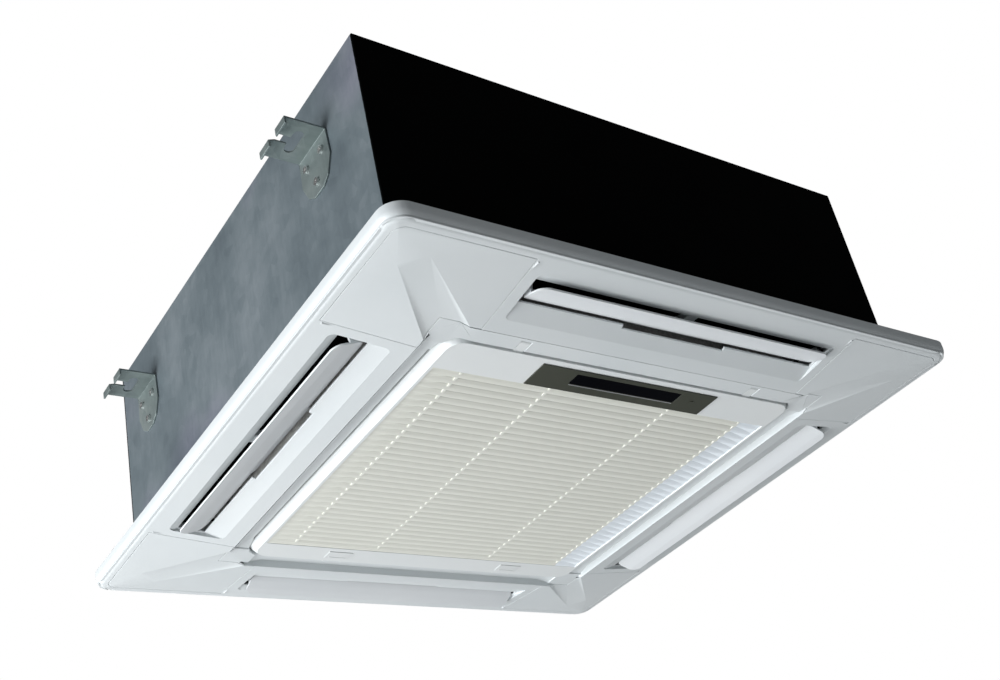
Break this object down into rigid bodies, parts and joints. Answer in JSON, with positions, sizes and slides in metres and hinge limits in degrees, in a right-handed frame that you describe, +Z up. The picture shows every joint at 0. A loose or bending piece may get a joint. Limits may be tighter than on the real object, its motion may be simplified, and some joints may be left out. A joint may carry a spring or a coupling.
{
  "type": "ceiling cassette air conditioner",
  "caption": "Square ceiling cassette air conditioner: sheet steel body on hanger brackets over a tapered panel with a vane on each side and a hinged return grille.",
  "frame": {"origin": "centre of the ceiling plane, where the panel's rim meets the ceiling; the body stands above it and the panel hangs below it", "axes": "+Z up into the ceiling void; -Y towards the display side of the grille, +Y towards its latch side; X across, through the sides that carry the hanger brackets; pipes leave on +X"},
  "size_m": [0.99, 0.95, 0.3672],
  "materials": {
    "aluminium_fins": "fine fins",
    "bezel_plastic": "smoked, semi gloss",
    "black_foam": "closed-cell foam, matt",
    "black_plastic": "satin",
    "board": "circuit board",
    "bracket_steel": "dark coated steel",
    "bright_steel": "bright zinc",
    "copper": "drawn copper tube",
    "dark_plastic": "satin",
    "fan_plastic": "glass-filled plastic",
    "filter_mesh": "woven mesh in a frame",
    "galvanised_steel": "zinc coated sheet, dull",
    "grey_plastic": "satin",
    "grille_plastic": "satin off-white",
    "motor_housing": "coated steel",
    "pan_foam": "expanded polystyrene",
    "panel_plastic": "smooth satin, pale blue grey",
    "rubber": "matt",
    "vane_plastic": "satin pale grey",
    "window_plastic": "black gloss"
  },
  "bodies": {
    "housing": {"bell_mouth": "black_plastic", "body_screws": "bright_steel", "cable_gland": "dark_plastic", "coil_end_plates": "galvanised_steel", "coil_return_bends": "copper", "control_board": "board", "corner_cover_front_left": "panel_plastic", "corner_cover_front_right": "panel_plastic", "corner_cover_rear_left": "panel_plastic", "corner_cover_rear_right": "panel_plastic", "corner_gussets": "galvanised_steel", "drain_hose": "rubber", "drain_pan": "pan_foam", "drain_pump": "dark_plastic", "drain_spigot": "grey_plastic", "duct_seals": "black_foam", "electrical_box": "galvanised_steel", "electrical_box_cover": "galvanised_steel", "evaporator_coil": "aluminium_fins", "fan_motor": "motor_housing", "float_switch": "dark_plastic", "foam_liner": "black_foam", "gas_pipe": "copper", "hanger_brackets_left": "bracket_steel", "hanger_brackets_right": "bracket_steel", "hinge_pins": "bright_steel", "liquid_pipe": "copper", "motor_bearings": "bright_steel", "motor_plate": "galvanised_steel", "motor_rubber_mounts": "rubber", "outer_insulation": "black_foam", "panel_frame": "panel_plastic", "panel_screws": "bright_steel", "pipe_plate": "galvanised_steel", "room_sensor": "dark_plastic", "side_plate_front": "galvanised_steel", "side_plate_left": "galvanised_steel", "side_plate_rear": "galvanised_steel", "side_plate_right": "galvanised_steel", "swing_motors": "dark_plastic", "terminal_block": "dark_plastic", "top_plate": "galvanised_steel", "vane_pivots": "dark_plastic"},
    "fan": {"motor_rotor_shaft": "bright_steel", "turbofan_impeller": "fan_plastic", "hub_nut": "bright_steel"},
    "pump_wheel": {"pump_rotor": "dark_plastic"},
    "float_body": {"float": "dark_plastic"},
    "front_vane": {"vane_front": "vane_plastic"},
    "right_vane": {"vane_right": "vane_plastic"},
    "rear_vane": {"vane_rear": "vane_plastic"},
    "left_vane": {"vane_left": "vane_plastic"},
    "grille": {"return_grille": "grille_plastic", "display_bezel": "bezel_plastic", "display_window": "window_plastic", "display_board": "board"},
    "left_latch": {"latch_left": "grille_plastic"},
    "right_latch": {"latch_right": "grille_plastic"},
    "button": {"display_button": "bezel_plastic"},
    "filter": {"air_filter": "filter_mesh"}
  },
  "joints": [
    {"name": "vane_front_swing", "type": "hinge", "parent": "housing", "child": "front_vane", "pos_m": [0, -0.405, -0.012], "axis": [1, 0, 0], "range_deg": [-19, 27]},
    {"name": "vane_right_swing", "type": "hinge", "parent": "housing", "child": "right_vane", "pos_m": [0.405, 0, -0.012], "axis": [0, 1, 0], "range_deg": [-19, 27]},
    {"name": "vane_rear_swing", "type": "hinge", "parent": "housing", "child": "rear_vane", "pos_m": [0, 0.405, -0.012], "axis": [-1, 0, 0], "range_deg": [-19, 27]},
    {"name": "vane_left_swing", "type": "hinge", "parent": "housing", "child": "left_vane", "pos_m": [-0.405, 0, -0.012], "axis": [0, -1, 0], "range_deg": [-19, 27]},
    {"name": "fan_spin", "type": "hinge", "parent": "housing", "child": "fan", "pos_m": [0, 0, 0.24], "axis": [0, 0, 1], "continuous": true},
    {"name": "pump_spin", "type": "hinge", "parent": "housing", "child": "pump_wheel", "pos_m": [0.335, 0.335, 0.055], "axis": [0, 0, 1], "continuous": true},
    {"name": "float_rise", "type": "slide", "parent": "housing", "child": "float_body", "axis": [0, 0, 1], "range_m": [0, 0.012]},
    {"name": "grille_hinge", "type": "hinge", "parent": "housing", "child": "grille", "pos_m": [0, -0.318, -0.028], "axis": [1, 0, 0], "range_deg": [-80, 0]},
    {"name": "latch_left_slide", "type": "slide", "parent": "grille", "child": "left_latch", "axis": [0, -1, 0], "range_m": [0, 0.008]},
    {"name": "latch_right_slide", "type": "slide", "parent": "grille", "child": "right_latch", "axis": [0, -1, 0], "range_m": [0, 0.008]},
    {"name": "button_press", "type": "slide", "parent": "grille", "child": "button", "axis": [0, 0, 1], "range_m": [0, 0.0012], "stiffness_N_per_m": 600, "springref_m": -0.0012},
    {"name": "filter_slide", "type": "slide", "parent": "grille", "child": "filter", "axis": [0, 1, 0], "range_m": [0, 0.015]}
  ],
  "couplings": [
    {"joint": "vane_right_swing", "follows": "vane_front_swing", "ratio": 1},
    {"joint": "vane_rear_swing", "follows": "vane_front_swing", "ratio": 1},
    {"joint": "vane_left_swing", "follows": "vane_front_swing", "ratio": 1}
  ]
}
